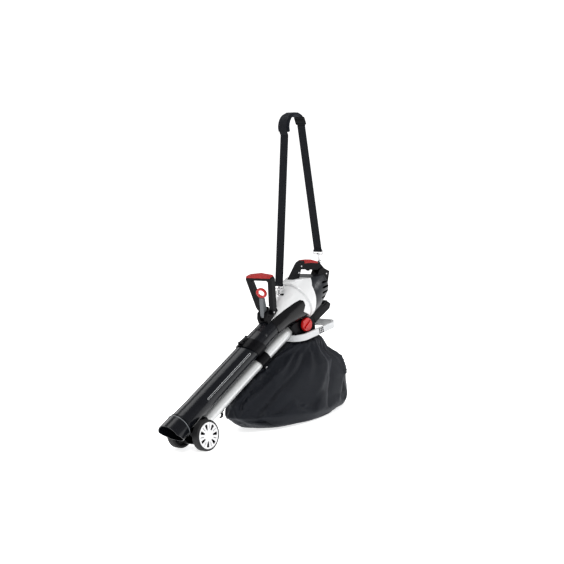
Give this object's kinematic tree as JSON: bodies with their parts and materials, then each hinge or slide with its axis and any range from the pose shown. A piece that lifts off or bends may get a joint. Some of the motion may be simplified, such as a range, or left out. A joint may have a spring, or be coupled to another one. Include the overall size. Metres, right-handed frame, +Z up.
{
  "type": "leaf blower",
  "caption": "Cordless leaf blower and vacuum on two small wheels, with a wide suction tube, a blow tube, a hanging collection bag, two handles and a shoulder strap.",
  "frame": {"origin": "on the floor, under the middle of the object's box", "axes": "+Z up, the nozzle towards -X and the battery end towards +X, the user's left towards -Y"},
  "size_m": [1.1327, 0.3199, 1.3186],
  "materials": {
    "tube_black": "semi-gloss black moulded tube",
    "moulded_black": "satin black moulding",
    "panel_black": "gloss black panel",
    "tube_silver": "silver-grey painted tube",
    "cover_silver": "silver painted wheel cover",
    "shell_grey": "light grey gloss moulding",
    "cover_dark": "dark grey satin moulding",
    "frame_grey": "light grey satin moulding",
    "knob_red": "red gloss moulding",
    "grip_red": "red soft grip, ribbed",
    "lever_grey": "grey moulded lever",
    "tyre": "black ribbed tyre",
    "steel": "plated steel",
    "motor_steel": "motor can",
    "inner_plastic": "black nylon moulding",
    "board_green": "circuit board",
    "battery_black": "black battery case",
    "bag_fabric": "woven nylon",
    "webbing": "polyester webbing",
    "pad_fabric": "padded polyester"
  },
  "bodies": {
    "housing": {"suction_tube_lower": "tube_black", "suction_tube_upper": "tube_black", "nozzle_cuff": "tube_black", "tube_collar": "moulded_black", "blow_tube_coupler": "moulded_black", "coupler_screw": "steel", "blow_tube_lower": "tube_silver", "blow_tube_upper": "tube_silver", "axle_bracket": "moulded_black", "stub_axles": "steel", "axle_clips": "steel", "bag_hook": "moulded_black", "housing_shell_left": "shell_grey", "housing_shell_right": "shell_grey", "duct_panel_left": "panel_black", "duct_panel_right": "panel_black", "motor_cover_left": "cover_dark", "motor_cover_right": "cover_dark", "diverter_housing": "moulded_black", "bag_port": "moulded_black", "bag_frame_hoop": "frame_grey", "collection_bag": "bag_fabric", "motor_can": "motor_steel", "motor_bearings": "steel", "motor_mount": "inner_plastic", "rear_handle_left": "moulded_black", "rear_handle_right": "moulded_black", "rear_grip_pad": "grip_red", "microswitch": "inner_plastic", "controller_board": "board_green", "battery_dock": "moulded_black", "front_handle_bracket": "moulded_black", "handle_pivot_pin": "steel", "strap_eyes": "steel", "housing_screws": "steel"},
    "wheel_left": {"wheel_tyre_left": "tyre", "wheel_rim_left": "moulded_black", "wheel_cover_left": "cover_silver"},
    "wheel_right": {"wheel_tyre_right": "tyre", "wheel_rim_right": "moulded_black", "wheel_cover_right": "cover_silver"},
    "fan": {"impeller": "inner_plastic", "motor_shaft": "steel"},
    "selector": {"selector_knob": "knob_red", "diverter_flap": "moulded_black"},
    "trigger": {"trigger": "moulded_black"},
    "lock_off": {"lock_off_button": "moulded_black"},
    "battery": {"battery_pack": "battery_black"},
    "battery_release": {"battery_button": "moulded_black"},
    "front_handle": {"front_handle_frame": "moulded_black", "front_grip_pad": "grip_red"},
    "cam": {"cam_lever": "lever_grey", "release_ring": "knob_red"},
    "latch": {"collar_latch": "moulded_black"},
    "strap": {"snap_hooks": "steel", "strap_rings": "steel", "strap_front_leg": "webbing", "strap_rear_leg": "webbing", "shoulder_pad": "pad_fabric", "strap_buckle": "moulded_black"}
  },
  "joints": [
    {"name": "wheel_left_spin", "type": "hinge", "parent": "housing", "child": "wheel_left", "pos_m": [-0.406, -0.073, 0.065], "axis": [0, 1, 0], "continuous": true},
    {"name": "wheel_right_spin", "type": "hinge", "parent": "housing", "child": "wheel_right", "pos_m": [-0.406, 0.073, 0.065], "axis": [0, 1, 0], "continuous": true},
    {"name": "impeller_spin", "type": "hinge", "parent": "housing", "child": "fan", "pos_m": [0.33242, 0, 0.52032], "axis": [0.8949, 0, 0.4462], "continuous": true},
    {"name": "selector_turn", "type": "hinge", "parent": "housing", "child": "selector", "pos_m": [0.296, 0, 0.398], "axis": [0, 1, 0], "range_deg": [0, 75]},
    {"name": "trigger_pull", "type": "hinge", "parent": "housing", "child": "trigger", "pos_m": [0.376, 0, 0.64], "axis": [0, -1, 0], "range_deg": [0, 9], "stiffness_Nm_per_rad": 0.3, "springref_deg": -11.46},
    {"name": "lock_off_press", "type": "slide", "parent": "housing", "child": "lock_off", "axis": [0, 0, -1], "range_m": [0, 0.003], "stiffness_N_per_m": 300, "springref_m": -0.002},
    {"name": "battery_slide", "type": "slide", "parent": "housing", "child": "battery", "axis": [0.8949, 0, 0.4462], "range_m": [0, 0.09]},
    {"name": "battery_button_press", "type": "slide", "parent": "battery", "child": "battery_release", "axis": [-0.4462, 0, 0.8949], "range_m": [0, 0.002], "stiffness_N_per_m": 300, "springref_m": -0.002},
    {"name": "front_handle_tilt", "type": "hinge", "parent": "housing", "child": "front_handle", "pos_m": [0.11145, 0, 0.4839], "axis": [0, 1, 0], "range_deg": [-20, 20]},
    {"name": "cam_lever_pull", "type": "hinge", "parent": "housing", "child": "cam", "pos_m": [0.08774, 0, 0.46872], "axis": [0, -1, 0], "range_deg": [0, 70]},
    {"name": "collar_latch_open", "type": "hinge", "parent": "housing", "child": "latch", "pos_m": [-0.07135, 0, 0.38214], "axis": [0, -1, 0], "range_deg": [0, 60]},
    {"name": "strap_swing", "type": "hinge", "parent": "housing", "child": "strap", "pos_m": [0.191, 0, 0.545], "axis": [0.9457, 0, 0.3251], "range_deg": [-25, 25]}
  ]
}
